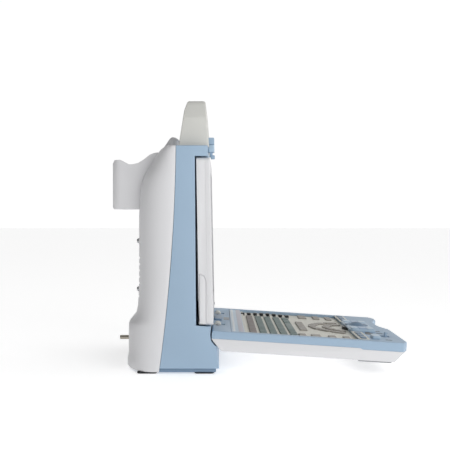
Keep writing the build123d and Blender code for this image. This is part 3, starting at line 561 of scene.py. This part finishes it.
def front_edge():
    """The half-moon pocket's painted shade, the button beside it and the painted shade of the catch's slots."""
    half_moon = [(-88, 213.6), (-88, 224.4)]
    for i in range(13):
        turn = math.pi * i / 12
        half_moon.append((-86 + 26 * math.sin(turn), 219 + 5.4 * math.cos(turn)))
    outline = [(x * MM, ahead * MM) for x, ahead in half_moon]
    keyboard_slab("pocket_shade", outline, RIM, RIM + 0.35 * MM, MATERIALS["black_plastic"], 0)
    light = MATERIALS["light_blue_plastic"]
    deck_patch("menu_button", (-139, -117), (215, 226.5), light, RIM - 0.2 * MM, 4.6 * MM, 2 * MM, 0.9 * MM)
    # painted shade: flat dark patches where the catch's slots open
    for i, (x, ahead) in enumerate(((-66, 232), (-141, 233), (-44, 232))):
        ends, reach = (x - 2.4, x + 2.4), (ahead, ahead + 9)
        name = f"catch_slot_shade_{i + 1}"
        deck_patch(name, ends, reach, DETAIL["slot_shade"], RIM - 0.05 * MM, 0.12 * MM, 1.0 * MM, 0)


def set_keys():
    """Three keys on either side of the ball."""
    reaches = ((196.8, 207.8), (208.6, 219.6), (220.4, 231.4))
    outer = 55.5
    for side, name in {-1: "left", 1: "right"}.items():
        for i, reach in enumerate(reaches):
            inner = 26 if i == 1 else 30
            ends = sorted((side * inner, side * outer))
            tone = MATERIALS["light_blue_plastic"] if (i + side) % 2 else DETAIL["pale_blue"]
            key = f"set_key_{name}_{i + 1}"
            deck_patch(key, ends, reach, tone, HOUSING_TOP - 0.1 * MM, 1.1 * MM, 2.5 * MM, 0.35 * MM)


strips()
gain_slot_shades()
panel_wings()
front_edge()
set_keys()


def ball_bezel():
    """A slim ring where the ball comes through."""
    bm = bmesh.new()
    rings = []
    sides = 64
    for radius, rise in ((17.6, 3.35), (17.2, 4.25), (15.4, 4.45), (13.2, 3.35)):
        ring = []
        for i in range(sides):
            turn = 2 * math.pi * i / sides
            x, ahead = radius * math.cos(turn) * MM, BALL_AHEAD + radius * math.sin(turn) * MM
            ring.append(bm.verts.new(in_keyboard(x, ahead, RIM + rise * MM)))
        rings.append(ring)
    for inner, outer in zip(rings, rings[1:] + rings[:1]):
        for i in range(sides):
            after = (i + 1) % sides
            bm.faces.new((inner[i], inner[after], outer[after], outer[i]))
    new_piece("ball_bezel", bm, MATERIALS["slate_plastic"], "keyboard", 60)


ball_bezel()


# ---------------------------------------------------------------- floor, lights and camera
def floor():
    """A white floor that glows a little, to come close to the white background."""
    bm = bmesh.new()
    bmesh.ops.create_grid(bm, x_segments=1, y_segments=1, size=12)
    mesh = bpy.data.meshes.new("floor")
    bm.to_mesh(mesh)
    bm.free()
    plane = bpy.data.objects.new("floor", mesh)
    bpy.context.scene.collection.objects.link(plane)
    pale = plastic("pale_floor", srgb(252, 252, 252), 0.9, bump=0.0, mottle=0.0)
    shader = pale.node_tree.nodes["Principled BSDF"]
    shader.inputs["Emission Color"].default_value = (1, 1, 1, 1)
    shader.inputs["Emission Strength"].default_value = 0.47
    mesh.materials.append(pale)


def softbox(name, place, target, size, power):
    """A rectangular area light aimed at a point."""
    light = bpy.data.lights.new(name, "AREA")
    light.shape = "RECTANGLE"
    light.size, light.size_y = size
    light.energy = power
    lamp = bpy.data.objects.new(name, light)
    lamp.location = place
    lamp.rotation_euler = (Vector(target) - Vector(place)).to_track_quat("-Z", "Y").to_euler()
    bpy.context.scene.collection.objects.link(lamp)


def studio():
    """A white sweep that is brightest beyond the object and falls off behind it."""
    world = bpy.data.worlds.new("studio")
    world.use_nodes = True
    tree = world.node_tree
    ground = tree.nodes["Background"]
    ground.inputs["Color"].default_value = (1, 1, 1, 1)
    place = tree.nodes.new("ShaderNodeTexCoord")
    split = tree.nodes.new("ShaderNodeSeparateXYZ")
    tree.links.new(place.outputs["Generated"], split.inputs["Vector"])

    def spread(axis, low, high, at_low, at_high):
        ramp = tree.nodes.new("ShaderNodeMapRange")
        ramp.interpolation_type = "SMOOTHSTEP"
        ramp.inputs["From Min"].default_value = low
        ramp.inputs["From Max"].default_value = high
        ramp.inputs["To Min"].default_value = at_low
        ramp.inputs["To Max"].default_value = at_high
        tree.links.new(split.outputs[axis], ramp.inputs["Value"])
        return ramp.outputs["Result"]

    def product(first, second):
        times = tree.nodes.new("ShaderNodeMath")
        times.operation = "MULTIPLY"
        tree.links.new(first, times.inputs[0])
        tree.links.new(second, times.inputs[1])
        return times.outputs["Value"]

    strength = product(spread("Y", 0.24, 0.75, 1.0, 0.06), spread("X", -0.9, 0.2, 0.42, 1.02))
    strength = product(strength, spread("Z", 0.25, 0.9, 1.0, 0.55))
    tree.links.new(strength, ground.inputs["Strength"])
    return world


floor()
softbox("key_light", (-1.9, -0.9, 0.7), (0, 0, 0.15), (1.4, 1.0), 14)
softbox("rear_light", (-0.7, 1.1, 2.2), (0, 0.1, 0.2), (1.2, 1.0), 3)
bpy.context.scene.world = studio()
bpy.context.scene.view_settings.view_transform = "Standard"

camera = bpy.data.cameras.new("camera")
camera.lens = 78.9
camera.sensor_width = 36
camera.shift_x = 0.0133
camera.shift_y = -0.0289
camera.clip_start = 0.01
viewer = bpy.data.objects.new("camera", camera)
viewer.location = (-1.506, FRONT + 1.4 * MM, 0.2206)
viewer.rotation_euler = (math.radians(90), 0, math.radians(-90))
bpy.context.scene.collection.objects.link(viewer)
bpy.context.scene.camera = viewer
